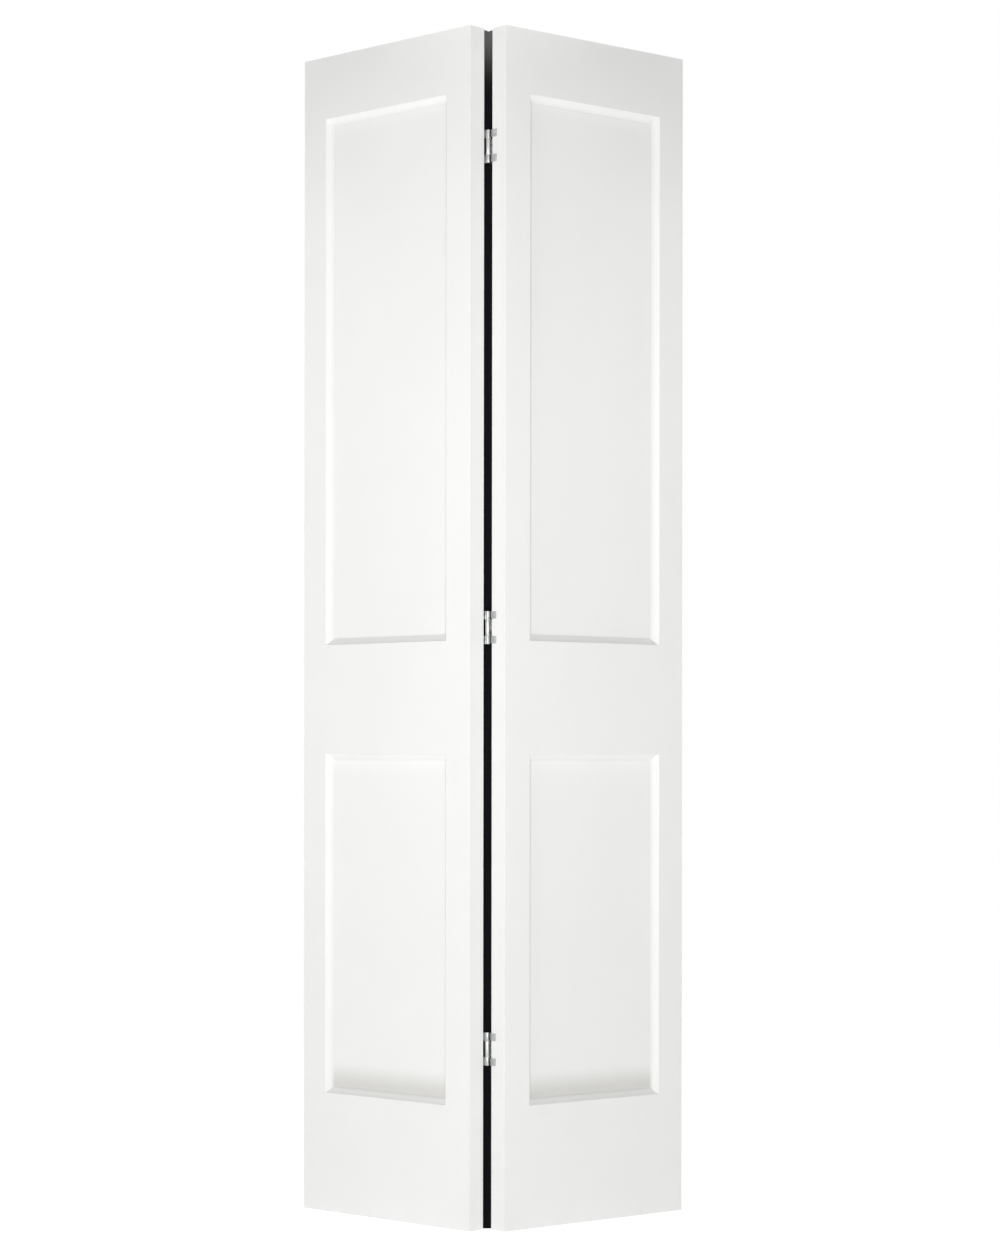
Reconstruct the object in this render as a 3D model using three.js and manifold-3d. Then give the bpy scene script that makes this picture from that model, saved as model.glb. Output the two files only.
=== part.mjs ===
// Bifold closet door: two hollow moulded leaves on three knuckle hinges, part folded into a V.
// Millimetres, +Z up. The V stands on its bottom edges with the hinge line toward -Y.
// The origin is on the floor, in the middle of the folded door's footprint.
import * as THREE from 'three';
import { mergeVertices } from 'three/addons/utils/BufferGeometryUtils.js';
import Module from 'manifold-3d';

const wasm = await Module();
wasm.setup();

// Door
const leafHeight = 2007;
const leafWidth = 397.5;
const leafThickness = 34.925;
const closedGap = 5; // between the two hinge edges when the door is shut
const axisStandoff = 7; // hinge axis behind the back faces
const restFold = THREE.MathUtils.degToRad(81.2); // both leaves together, away from flat
const arrisRadius = 1.2;

// Panel layout on the faces
const stileFace = 54;
const topRailFace = 108;
const midRailFace = 188.5;
const bottomRailFace = 206;
const lowerOpeningHeight = 589.5;

// Sticking: a straight bevel that runs out through a cove onto the flat panel
const panelDepth = 10.5;
const bevelSlope = THREE.MathUtils.degToRad(50); // from the face
const coveRadius = 6;

// Leaf construction
const skinThickness = 3.2;
const stileWidth = 28;
const topRailHeight = 60;
const midRailHeight = 110;
const bottomRailHeight = 60;
const paperThickness = 0.6;
const coreCellHeight = 110;
const coreStrips = 4;
const coreNodeShare = 0.22; // of a cell's height, where two strips run together
const seatGap = 0.3; // glue line or seat between two pieces of a leaf

// Pivot and guide bores
const boreDiameter = 11.1;
const boreDepth = 38;
const boreFromEdge = 38;

// Hinges
const hingeHeight = 55;
const topHingeFromTop = 196;
const middleHingeFromTop = 1001;
const bottomHingeFromFloor = 301;
const sheetThickness = 1.35;
const plateReach = 27; // from the hinge edge onto the back face
const plateCornerRadius = 3;
const crankSetback = 8.5; // from the hinge edge to the start of the rise to the knuckle
const middleTongueHeight = 25.8;
const seamGap = 0.4;
const pinDiameter = 3;
const pinFit = 0.1; // radial, pin in the outer knuckles and in the bushings
const pinChamfer = 0.4;
const bushingWall = 0.65;
const bushingFit = 0.1; // radial, bushing in the middle knuckle
const bushingSleeveLength = 9;
const flangeThickness = 0.9;
const flangeOverhang = 0.35; // past the middle knuckle
const knuckleGap = 0.15;
const tabHeight = 12.4;
const tabLength = 12.6; // from the back face toward the front face
const tabBendRadius = 0.6;

// Hinge screws
const screwFromEdge = 17.5;
const screwSpacing = 35;
const screwLength = 16;
const screwDiameter = 3.5;
const screwHeadDiameter = 6.8;
const screwHeadHeight = 2;
const screwHeadRound = 1.1;
const screwTipLength = 4;
const screwHoleClearance = 0.25; // radial, in the plate
const pilotClearance = 0.1; // radial, in the skin and the stile
const pilotTail = 1; // pilot hole past the screw's tip
const crossWidth = 0.9;
const crossSpan = 3.6;
const crossDepth = 1.1;

// Working values of the cuts
const overrun = 2;
const weldDistance = 0.001;
const coveSteps = 4;
const arrisSteps = 3;
const curlSteps = 20;
const bendSteps = 3;
const cornerSteps = 4;
const roundSides = 16;
const boreSides = 24;
const screwSides = 12;

// Places in a leaf's own frame: the hinge axis is the Z axis, +X runs out along the leaf and +Y to its back
const leaf = {
  inner: closedGap / 2,
  outer: closedGap / 2 + leafWidth,
  back: -axisStandoff,
  front: -axisStandoff - leafThickness,
  middle: -axisStandoff - leafThickness / 2,
};
const frame = {
  back: leaf.back - skinThickness - seatGap,
  front: leaf.front + skinThickness + seatGap,
};
const opening = { inner: leaf.inner + stileFace, outer: leaf.outer - stileFace };
const lowerOpening = { ...opening, low: bottomRailFace, high: bottomRailFace + lowerOpeningHeight };
const upperOpening = { ...opening, low: lowerOpening.high + midRailFace, high: leafHeight - topRailFace };
const hinges = [
  { name: 'top_hinge', height: leafHeight - topHingeFromTop },
  { name: 'middle_hinge', height: leafHeight - middleHingeFromTop },
  { name: 'bottom_hinge', height: bottomHingeFromFloor },
];
const screwPlaces = [
  { end: 'upper', height: screwSpacing / 2 },
  { end: 'lower', height: -screwSpacing / 2 },
];

// Hinge sections
const pinRadius = pinDiameter / 2;
const outerKnuckleInside = pinRadius + pinFit;
const bushingInside = pinRadius + pinFit;
const bushingOutside = bushingInside + bushingWall;
const middleKnuckleInside = bushingOutside + bushingFit;
const plateLow = leaf.back + seatGap;
const plateMiddle = plateLow + sheetThickness / 2;
const crankStart = leaf.inner + crankSetback;
const flangeLow = middleTongueHeight / 2 + knuckleGap;
const outerTongueLow = flangeLow + flangeThickness + knuckleGap;

const paint = { color: 0xf3f3f1, roughness: 0.55, metalness: 0 };
const pine = { color: 0xd9b98a, roughness: 0.7, metalness: 0 };
const kraft = { color: 0xb08a5e, roughness: 0.9, metalness: 0 };
const zinc = { color: 0xc9cdcc, roughness: 0.3, metalness: 1 };
const nylon = { color: 0xe9e9e4, roughness: 0.5, metalness: 0 };

// Merged, closed copy of a geometry with positions only
function welded(geometry) {
  const bare = geometry.clone();
  bare.deleteAttribute('normal');
  bare.deleteAttribute('uv');
  return mergeVertices(bare, weldDistance);
}

function solidOf(geometry) {
  const mesh = welded(geometry);
  return new wasm.Manifold(new wasm.Mesh({
    numProp: 3,
    vertProperties: Float32Array.from(mesh.attributes.position.array),
    triVerts: Uint32Array.from(mesh.index.array),
  }));
}

function geometryOf(solid) {
  const { vertProperties, triVerts } = solid.getMesh();
  const geometry = new THREE.BufferGeometry();
  geometry.setAttribute('position', new THREE.BufferAttribute(vertProperties, 3));
  geometry.setIndex(new THREE.BufferAttribute(triVerts, 1));
  return geometry;
}

function joined(geometries) {
  return geometryOf(geometries.map(solidOf).reduce((whole, next) => whole.add(next)));
}

function cut(geometry, cutters) {
  return geometryOf(cutters.map(solidOf).reduce((whole, cutter) => whole.subtract(cutter), solidOf(geometry)));
}

// Copy reflected in the plane through a value on one axis, with its faces turned to point out again
function mirrored(geometry, axis, plane) {
  const copy = welded(geometry);
  const scale = new THREE.Vector3(1, 1, 1);
  scale[axis] = -1;
  const shift = new THREE.Vector3();
  shift[axis] = plane + plane;
  copy.scale(...scale.toArray());
  copy.translate(...shift.toArray());
  const corners = copy.index.array;
  for (let i = 0; i < corners.length; i += 3) {
    [corners[i], corners[i + 1]] = [corners[i + 1], corners[i]];
  }
  return copy;
}

function boxBetween(low, high) {
  const size = high.clone().sub(low);
  const centre = low.clone().add(high).multiplyScalar(0.5);
  return new THREE.BoxGeometry(size.x, size.y, size.z).translate(centre.x, centre.y, centre.z);
}

// Shape in the XY plane, standing between two heights
function prism(shape, low, high, curveSegments = cornerSteps) {
  const geometry = new THREE.ExtrudeGeometry(shape, { depth: high - low, bevelEnabled: false, curveSegments });
  return geometry.translate(0, 0, low);
}

// Shape whose x is height and whose y is the leaf's Y, running along the leaf
function prismAlongLeaf(shape, inner, outer) {
  const geometry = new THREE.ExtrudeGeometry(shape, { depth: outer - inner, bevelEnabled: false });
  return geometry.rotateY(-Math.PI / 2).translate(outer, 0, 0);
}

// Shape whose x runs along the leaf and whose y is height, running through the leaf's thickness
function prismThroughLeaf(shape, front, back, curveSegments = cornerSteps) {
  const geometry = new THREE.ExtrudeGeometry(shape, { depth: back - front, bevelEnabled: false, curveSegments });
  return geometry.rotateX(Math.PI / 2).translate(0, back, 0);
}

// Round bar through the leaf's thickness
function barThroughLeaf(x, z, radius, front, back, sides) {
  return new THREE.CylinderGeometry(radius, radius, back - front, sides).translate(x, (front + back) / 2, z);
}

// Outline of a strip of sheet that follows a path, half its thickness to each side
function stripShape(path, thickness) {
  const last = path.length - 1;
  const leftSide = [];
  const rightSide = [];
  path.forEach((point, i) => {
    const ahead = path[Math.min(i + 1, last)].clone().sub(point);
    const behind = point.clone().sub(path[Math.max(i - 1, 0)]);
    const incoming = (i === 0 ? ahead : behind).clone().normalize();
    const outgoing = (i === last ? behind : ahead).clone().normalize();
    const along = incoming.clone().add(outgoing).normalize();
    const across = new THREE.Vector2(-along.y, along.x);
    const reach = thickness / 2 / across.dot(new THREE.Vector2(-incoming.y, incoming.x));
    leftSide.push(point.clone().addScaledVector(across, reach));
    rightSide.unshift(point.clone().addScaledVector(across, -reach));
  });
  return new THREE.Shape([...leftSide, ...rightSide]);
}

function arcPoints(centre, radius, from, to, steps) {
  return Array.from({ length: steps + 1 }, (_, i) => {
    const angle = from + (to - from) * i / steps;
    return new THREE.Vector2(centre.x + radius * Math.cos(angle), centre.y + radius * Math.sin(angle));
  });
}

// The sticking as inset and depth from the arris; an offset gives the same line on the skin's inner side
function stickingProfile(offset) {
  const runOut = coveRadius * Math.tan(bevelSlope / 2);
  const centre = new THREE.Vector2(panelDepth / Math.tan(bevelSlope) + runOut, panelDepth - coveRadius);
  const start = new THREE.Vector2(-offset * Math.tan(bevelSlope / 2), offset);
  const quarter = Math.PI / 2;
  return [start, ...arcPoints(centre, coveRadius + offset, quarter + bevelSlope, quarter, coveSteps)];
}

// Cross-section of a panel recess between two arrises; lift is how far it reaches back out of the leaf
function recessShape(low, high, offset, lift) {
  const profile = stickingProfile(offset);
  const ends = [new THREE.Vector2(profile[0].x, profile[0].y - lift), ...profile];
  const nearSide = ends.map((p) => new THREE.Vector2(low + p.x, leaf.front + p.y));
  const farSide = ends.map((p) => new THREE.Vector2(high - p.x, leaf.front + p.y)).reverse();
  return new THREE.Shape([...nearSide, ...farSide]);
}

// Panel recess with mitred corners, where the two cross-sections meet
function recessSolid(hole, offset, lift) {
  const upright = prism(recessShape(hole.inner, hole.outer, offset, lift), hole.low - overrun - offset,
    hole.high + overrun + offset);
  const level = prismAlongLeaf(recessShape(hole.low, hole.high, offset, lift), hole.inner - overrun - offset,
    hole.outer + overrun + offset);
  return solidOf(upright).intersect(solidOf(level));
}

// Moulded skin of the front face: a flat sheet with eased long arrises and two pressed panels
function frontSkin() {
  const corner = { x: leaf.inner + arrisRadius, y: leaf.front + arrisRadius };
  const farCorner = { x: leaf.outer - arrisRadius, y: corner.y };
  const back = leaf.front + skinThickness;
  const section = new THREE.Shape([
    new THREE.Vector2(leaf.inner, back),
    ...arcPoints(corner, arrisRadius, Math.PI, Math.PI * 1.5, arrisSteps),
    ...arcPoints(farCorner, arrisRadius, Math.PI * 1.5, Math.PI * 2, arrisSteps),
    new THREE.Vector2(leaf.outer, back),
  ]);
  let skin = solidOf(prism(section, 0, leafHeight));
  for (const hole of [upperOpening, lowerOpening]) {
    skin = skin.add(recessSolid(hole, skinThickness, skinThickness / 2));
  }
  for (const hole of [upperOpening, lowerOpening]) {
    skin = skin.subtract(recessSolid(hole, 0, overrun));
  }
  return geometryOf(skin);
}

function pilotHoles() {
  const radius = screwDiameter / 2 + pilotClearance;
  const tip = plateLow + sheetThickness + seatGap - screwLength - pilotTail;
  return hinges.flatMap((hinge) => screwPlaces.map((place) => barThroughLeaf(
    leaf.inner + screwFromEdge, hinge.height + place.height, radius, tip, leaf.back + overrun, screwSides)));
}

function backSkin() {
  return cut(mirrored(frontSkin(), 'y', leaf.middle), pilotHoles());
}

function frameBar(inner, outer, low, high) {
  return boxBetween(new THREE.Vector3(inner, frame.front, low), new THREE.Vector3(outer, frame.back, high));
}

function hingeStile() {
  return cut(frameBar(leaf.inner, leaf.inner + stileWidth, 0, leafHeight), pilotHoles());
}

function outerStile() {
  return frameBar(leaf.outer - stileWidth, leaf.outer, 0, leafHeight);
}

// Rail between the stiles, with an upright bore from its top or bottom edge where a pivot or guide goes
function rail(low, high, boredEdge) {
  const bar = frameBar(leaf.inner + stileWidth + seatGap, leaf.outer - stileWidth - seatGap, low, high);
  if (boredEdge === undefined) {
    return bar;
  }
  const inward = boredEdge === high ? -1 : 1;
  const depth = boreDepth + overrun;
  const bore = new THREE.CylinderGeometry(boreDiameter / 2, boreDiameter / 2, depth, boreSides);
  bore.rotateX(Math.PI / 2);
  bore.translate(leaf.outer - boreFromEdge, leaf.middle, boredEdge + inward * (depth / 2 - overrun));
  return cut(bar, [bore]);
}

// Kraft paper honeycomb in the thin space behind a pressed panel, glued up from zigzag strips
function paperCore(hole) {
  const profile = stickingProfile(0);
  const flatInset = profile[profile.length - 1].x + seatGap;
  const low = hole.low + flatInset;
  const high = hole.high - flatInset;
  const inner = hole.inner + flatInset;
  const pitch = (hole.outer - flatInset - inner) / coreStrips;
  const cells = Math.max(1, Math.round((high - low) / coreCellHeight));
  const cellHeight = (high - low) / cells;
  const halfDepth = leafThickness / 2 - panelDepth - skinThickness - seatGap;
  const strips = Array.from({ length: coreStrips }, (_, strip) => {
    const centre = inner + pitch * (strip + 0.5);
    const swing = (strip % 2 === 0 ? 1 : -1) * (pitch - paperThickness) / 2;
    const path = [];
    for (let cell = 0; cell < cells; cell++) {
      const base = low + cell * cellHeight;
      const node = cellHeight * coreNodeShare;
      path.push(new THREE.Vector2(centre + swing, base));
      path.push(new THREE.Vector2(centre + swing, base + node));
      path.push(new THREE.Vector2(centre - swing, base + cellHeight / 2));
      path.push(new THREE.Vector2(centre - swing, base + cellHeight / 2 + node));
    }
    path.push(new THREE.Vector2(centre + swing, high));
    return prismThroughLeaf(stripShape(path, paperThickness), leaf.middle - halfDepth, leaf.middle + halfDepth);
  });
  return joined(strips);
}

// Strip of plate that rises from the back face and curls round the pin, in plan
function knuckleSection(inside) {
  const outside = inside + sheetThickness;
  const centreRadius = inside + sheetThickness / 2;
  const foot = new THREE.Vector2(crankStart, plateMiddle);
  const rise = Math.atan2(-foot.y, -foot.x) - Math.asin(centreRadius / foot.length());
  const firstAngle = rise - Math.PI / 2;
  const sweep = Math.PI * 2 - Math.acos((inside - seamGap) / outside);
  const curl = arcPoints({ x: 0, y: 0 }, centreRadius, firstAngle, firstAngle + sweep, curlSteps);
  return stripShape([new THREE.Vector2(crankStart + overrun, plateMiddle), foot, ...curl], sheetThickness);
}

// Locating tab: the plate carried on to the edge and bent forward onto the leaf's edge face, in plan
function tabSection() {
  const tabMiddle = leaf.inner - seatGap - sheetThickness / 2;
  const bend = tabBendRadius + sheetThickness / 2;
  const centre = { x: tabMiddle + bend, y: plateMiddle - bend };
  return stripShape([
    new THREE.Vector2(crankStart + overrun, plateMiddle),
    ...arcPoints(centre, bend, Math.PI / 2, Math.PI, bendSteps),
    new THREE.Vector2(tabMiddle, leaf.back - tabLength),
  ], sheetThickness);
}

// Flat of a hinge plate on the back face, rounded at its far corners and holed for its screws
function plateFlat() {
  const far = leaf.inner + plateReach - plateCornerRadius;
  const top = hingeHeight / 2 - plateCornerRadius;
  const shape = new THREE.Shape();
  shape.moveTo(crankStart, -hingeHeight / 2);
  shape.lineTo(far, -hingeHeight / 2);
  shape.absarc(far, -top, plateCornerRadius, -Math.PI / 2, 0, false);
  shape.absarc(far, top, plateCornerRadius, 0, Math.PI / 2, false);
  shape.lineTo(crankStart, hingeHeight / 2);
  const holeRadius = screwDiameter / 2 + screwHoleClearance;
  const holes = screwPlaces.map(({ height }) => barThroughLeaf(leaf.inner + screwFromEdge, height, holeRadius,
    plateLow - overrun, plateLow + sheetThickness + overrun, screwSides));
  return cut(prismThroughLeaf(shape, plateLow, plateLow + sheetThickness), holes);
}

function outerKnucklePlate() {
  const section = knuckleSection(outerKnuckleInside);
  return joined([
    plateFlat(),
    prism(section, outerTongueLow, hingeHeight / 2),
    prism(section, -hingeHeight / 2, -outerTongueLow),
  ]);
}

function middleKnucklePlate() {
  const tabCentre = (outerTongueLow + hingeHeight / 2) / 2;
  const tab = tabSection();
  return joined([
    plateFlat(),
    prism(knuckleSection(middleKnuckleInside), -middleTongueHeight / 2, middleTongueHeight / 2),
    prism(tab, tabCentre - tabHeight / 2, tabCentre + tabHeight / 2),
    prism(tab, -tabCentre - tabHeight / 2, -tabCentre + tabHeight / 2),
  ]);
}

// Solid turned about the Z axis from radius and height pairs
function turned(profile, sides) {
  return new THREE.LatheGeometry(profile.map(([r, z]) => new THREE.Vector2(r, z)), sides).rotateX(Math.PI / 2);
}

function hingePin() {
  const end = hingeHeight / 2;
  return turned([
    [0, -end],
    [pinRadius - pinChamfer, -end],
    [pinRadius, -end + pinChamfer],
    [pinRadius, end - pinChamfer],
    [pinRadius - pinChamfer, end],
    [0, end],
  ], roundSides);
}

// Flanged sleeve pushed into the upper end of the middle knuckle
function bushing() {
  const flangeRadius = middleKnuckleInside + sheetThickness + flangeOverhang;
  return turned([
    [bushingInside, flangeLow - bushingSleeveLength],
    [bushingOutside, flangeLow - bushingSleeveLength],
    [bushingOutside, flangeLow],
    [flangeRadius, flangeLow],
    [flangeRadius, flangeLow + flangeThickness],
    [bushingInside, flangeLow + flangeThickness],
    [bushingInside, flangeLow - bushingSleeveLength],
  ], roundSides);
}

// Pan-head screw with a cross recess, seated on a hinge plate with its tip toward the front of the leaf
function screw() {
  const radius = screwDiameter / 2;
  const headRadius = screwHeadDiameter / 2;
  const crown = arcPoints({ x: headRadius - screwHeadRound, y: screwHeadHeight - screwHeadRound }, screwHeadRound,
    0, Math.PI / 2, bendSteps);
  const body = turned([
    [0, -screwLength],
    [radius, screwTipLength - screwLength],
    [radius, 0],
    [headRadius, 0],
    ...crown.map((p) => [p.x, p.y]),
    [0, screwHeadHeight],
  ], screwSides);
  const crossLow = screwHeadHeight - crossDepth;
  const crossTop = screwHeadHeight + overrun;
  const bars = [[crossSpan, crossWidth], [crossWidth, crossSpan]].map(([x, y]) => boxBetween(
    new THREE.Vector3(-x / 2, -y / 2, crossLow), new THREE.Vector3(x / 2, y / 2, crossTop)));
  const seat = plateLow + sheetThickness + seatGap;
  return cut(body, bars).rotateX(-Math.PI / 2).translate(leaf.inner + screwFromEdge, seat, 0);
}

function addPiece(group, name, geometry, finish) {
  geometry.computeVertexNormals();
  const piece = new THREE.Mesh(geometry, new THREE.MeshStandardMaterial(finish));
  piece.name = name;
  group.add(piece);
  return piece;
}

// One leaf with everything that is fixed to it. The left leaf is the mirror image of the right.
function buildLeaf(side) {
  const group = new THREE.Group();
  const isLeft = side === 'left';
  const place = (geometry) => (isLeft ? mirrored(geometry, 'x', 0) : welded(geometry));
  const topRailLow = leafHeight - topRailHeight;
  const midRailLow = lowerOpening.high + (midRailFace - midRailHeight) / 2;
  const pieces = [
    ['front_skin', frontSkin(), paint],
    ['back_skin', backSkin(), paint],
    ['hinge_stile', hingeStile(), paint],
    ['outer_stile', outerStile(), paint],
    ['top_rail', rail(topRailLow, leafHeight, leafHeight), paint],
    ['mid_rail', rail(midRailLow, midRailLow + midRailHeight), pine],
    ['bottom_rail', rail(0, bottomRailHeight, isLeft ? 0 : undefined), paint],
    ['upper_core', paperCore(upperOpening), kraft],
    ['lower_core', paperCore(lowerOpening), kraft],
  ];
  for (const [name, geometry, finish] of pieces) {
    addPiece(group, `${side}_${name}`, place(geometry), finish);
  }
  for (const hinge of hinges) {
    const plate = isLeft ? outerKnucklePlate() : middleKnucklePlate();
    addPiece(group, `${hinge.name}_${side}_plate`, place(plate), zinc).position.z = hinge.height;
    for (const { end, height } of screwPlaces) {
      const name = `${hinge.name}_${side}_${end}_screw`;
      addPiece(group, name, place(screw()), zinc).position.z = hinge.height + height;
    }
  }
  group.rotation.z = (isLeft ? -1 : 1) * restFold / 2;
  return group;
}

// The folded door, its hinge axis set so that the footprint is centred on the origin
const halfFold = restFold / 2;
const footprintFront = leaf.inner * Math.sin(halfFold) + leaf.front * Math.cos(halfFold);
const footprintBack = leaf.outer * Math.sin(halfFold) + leaf.back * Math.cos(halfFold);

const door = new THREE.Group();
door.position.y = -(footprintFront + footprintBack) / 2;
door.add(buildLeaf('left'), buildLeaf('right'));
for (const hinge of hinges) {
  addPiece(door, `${hinge.name}_pin`, hingePin(), zinc).position.z = hinge.height;
  addPiece(door, `${hinge.name}_upper_bushing`, welded(bushing()), nylon).position.z = hinge.height;
  addPiece(door, `${hinge.name}_lower_bushing`, mirrored(bushing(), 'z', 0), nylon).position.z = hinge.height;
}

export default door;
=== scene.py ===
from math import acos, asin, atan2, cos, hypot, pi, radians, sin, tan

import bmesh
import bpy
from mathutils import Matrix, Vector


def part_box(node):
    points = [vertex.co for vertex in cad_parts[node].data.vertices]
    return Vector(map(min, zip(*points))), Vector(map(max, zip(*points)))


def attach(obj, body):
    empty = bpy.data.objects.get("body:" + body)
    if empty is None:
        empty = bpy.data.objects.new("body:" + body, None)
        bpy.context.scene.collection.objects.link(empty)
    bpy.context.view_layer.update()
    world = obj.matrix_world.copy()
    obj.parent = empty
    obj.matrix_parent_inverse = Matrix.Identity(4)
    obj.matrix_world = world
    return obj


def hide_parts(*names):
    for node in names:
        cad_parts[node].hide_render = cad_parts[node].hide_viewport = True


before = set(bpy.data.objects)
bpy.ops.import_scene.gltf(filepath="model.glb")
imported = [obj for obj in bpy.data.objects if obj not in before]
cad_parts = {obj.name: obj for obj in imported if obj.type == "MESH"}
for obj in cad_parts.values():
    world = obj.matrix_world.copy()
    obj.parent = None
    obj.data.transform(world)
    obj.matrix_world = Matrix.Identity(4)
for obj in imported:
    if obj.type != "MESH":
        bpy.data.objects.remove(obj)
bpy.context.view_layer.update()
bpy.context.scene.view_settings.view_transform = "Standard"
print("frame loaded:", len(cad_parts), "CAD pieces")

mm = 0.001
near = 0.02 * mm  # a point this close to a plane counts as on it
merging = 0.001 * mm  # points closer than this become one

# The door, as the frame has it. In a leaf's own frame the hinge axis is Z, X runs out along the
# leaf and Y runs to its back. The left leaf is the mirror image of the right one.
door = {
    "height": 2007 * mm,
    "leafWidth": 397.5 * mm,
    "thickness": 34.925 * mm,
    "closedGap": 5 * mm,
    "axisStandoff": 7 * mm,
    "restFold": radians(81.2),
}
pinLow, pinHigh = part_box("top_hinge_pin")
axisY = (pinLow[1] + pinHigh[1]) / 2
hingeEdge = door["closedGap"] / 2
outerEdge = hingeEdge + door["leafWidth"]
leafMiddle = (hingeEdge + outerEdge) / 2
backFace = -door["axisStandoff"]
frontFace = backFace - door["thickness"]


def leafTurn(side):
    return door["restFold"] / 2 * (1 if side == "right" else -1)


def leafPlace(side):
    place = Matrix.Translation((0, axisY, 0)) @ Matrix.Rotation(leafTurn(side), 4, "Z")
    return place if side == "right" else place @ Matrix.Scale(-1, 4, (1, 0, 0))


# Camera: almost level, a little to the right of the door's middle, with the picture shifted up
view = {
    "place": (0.1943, -5.1600, 0.7835),
    "turn": (radians(90), radians(-0.064), radians(1.970)),
    "lens": 86.97,
    "shiftY": 0.1085,
}
camera = bpy.data.objects.new("photoCamera", bpy.data.cameras.new("photoCamera"))
camera.location = view["place"]
camera.rotation_euler = view["turn"]
camera.data.lens = view["lens"]
camera.data.shift_y = view["shiftY"]
bpy.context.collection.objects.link(camera)
bpy.context.scene.camera = camera


# A socket in a node tree. Arithmetic on it adds Math nodes.
class Wire:
    def __init__(self, web, socket):
        self.web = web
        self.socket = socket

    def maths(self, operation, *values):
        return self.web.node("ShaderNodeMath", {"operation": operation}, values)

    def __add__(self, other):
        return self.maths("ADD", self, other)

    def __radd__(self, other):
        return self.maths("ADD", other, self)

    def __sub__(self, other):
        return self.maths("SUBTRACT", self, other)

    def __rsub__(self, other):
        return self.maths("SUBTRACT", other, self)

    def __mul__(self, other):
        return self.maths("MULTIPLY", self, other)

    def __rmul__(self, other):
        return self.maths("MULTIPLY", other, self)

    def __abs__(self):
        return self.maths("ABSOLUTE", self)

    def fraction(self):
        return self.maths("FRACT", self)

    def power(self, exponent):
        return self.maths("POWER", self, exponent)

    def least(self, other):
        return self.maths("MINIMUM", self, other)

    def most(self, other):
        return self.maths("MAXIMUM", self, other)


# A node tree, with one way to add a node: its settings first, then its inputs by number or name
class Web:
    def __init__(self, tree):
        self.tree = tree
        tree.nodes.clear()

    def node(self, kind, settings=None, inputs=(), output=0):
        added = self.tree.nodes.new(kind)
        for name, value in (settings or {}).items():
            setattr(added, name, value)
        pairs = inputs.items() if isinstance(inputs, dict) else enumerate(inputs)
        for key, value in pairs:
            if isinstance(value, Wire):
                self.tree.links.new(value.socket, added.inputs[key])
            else:
                added.inputs[key].default_value = value
        return Wire(self, added.outputs[output]) if added.outputs else added

    # Where a point lies on the door, or in a leaf's own frame
    def point(self, side=None):
        spot = self.node("ShaderNodeTexCoord", output="Object")
        if side is None:
            return spot
        return self.node("ShaderNodeMapping", {"vector_type": "TEXTURE"}, {
            "Vector": spot,
            "Location": (0, axisY, 0),
            "Rotation": (0, 0, leafTurn(side)),
            "Scale": (1 if side == "right" else -1, 1, 1),
        })

    def axes(self, vector):
        split = self.node("ShaderNodeSeparateXYZ", None, [vector])
        return [Wire(self, socket) for socket in split.socket.node.outputs]

    def stretched(self, vector, scale):
        return self.node("ShaderNodeMapping", None, {"Vector": vector, "Scale": scale})

    def noise(self, vector, scale, detail=2, roughness=0.5):
        return self.node("ShaderNodeTexNoise", None, {
            "Vector": vector, "Scale": scale, "Detail": detail, "Roughness": roughness})

    # 0 below low, 1 above high, smooth between
    def ramp(self, value, low, high):
        return self.node("ShaderNodeMapRange", {"interpolation_type": "SMOOTHSTEP"}, {
            "Value": value, "From Min": low, "From Max": high})

    def mixed(self, factor, first, second):
        return self.node("ShaderNodeMix", {"data_type": "RGBA"},
                         {0: factor, 6: paint(first), 7: paint(second)}, output=2)

    def bump(self, height, distance):
        return self.node("ShaderNodeBump", None, {
            "Height": height, "Distance": distance, "Strength": 1.0})


def paint(value):
    return value if isinstance(value, Wire) else (*value, 1)


def newMaterial(name):
    material = bpy.data.materials.new(name)
    material.use_nodes = True
    return material, Web(material.node_tree)


def surface(web, inputs):
    shader = web.node("ShaderNodeBsdfPrincipled", None, inputs)
    web.node("ShaderNodeOutputMaterial", None, [shader])


# Pressed skins: one sheet of moulded fibreboard for each face of a leaf, with two panels in it
moulding = {
    "stile": 54 * mm,
    "topRail": 108 * mm,
    "midRail": 188.5 * mm,
    "bottomRail": 206 * mm,
    "lowerOpening": 589.5 * mm,
    "panelDepth": 10.5 * mm,
    "arrisSlope": radians(57),
    "footSlope": radians(27),
    "hollowSteps": 12,
    "arrisRadius": 0.35 * mm,
    "arrisSteps": 3,
    "sheet": 3.48 * mm,
    "edgeRadius": 1.2 * mm,
    "edgeSteps": 6,
    "flatWidth": 1.5 * mm,
}
panelLeft = hingeEdge + moulding["stile"]
panelRight = outerEdge - moulding["stile"]
lowerPanelLow = moulding["bottomRail"]
lowerPanelHigh = lowerPanelLow + moulding["lowerOpening"]
upperPanelLow = lowerPanelHigh + moulding["midRail"]
upperPanelHigh = door["height"] - moulding["topRail"]

# The moulding is a hollow, steep at its arris and shallow at its foot, where it meets the panel at a corner
steep, shallow = moulding["arrisSlope"], moulding["footSlope"]
hollowRadius = moulding["panelDepth"] / (cos(shallow) - cos(steep))
footInset = hollowRadius * (sin(steep) - sin(shallow))

# White primer: a sprayed film with a fine orange peel and faint clouding. Here and in the other
# finishes, a noise is its scale, detail and roughness, and a span is where a ramp starts and ends.
primer = {
    "white": (0.885, 0.885, 0.872),
    "clouded": (0.868, 0.869, 0.856),
    "cloudSpan": (0.3, 0.75),
    "roughness": 0.6,
    "roughnessSwing": 0.1,
    "peel": (420, 2),
    "peelDepth": 0.018 * mm,
}

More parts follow.
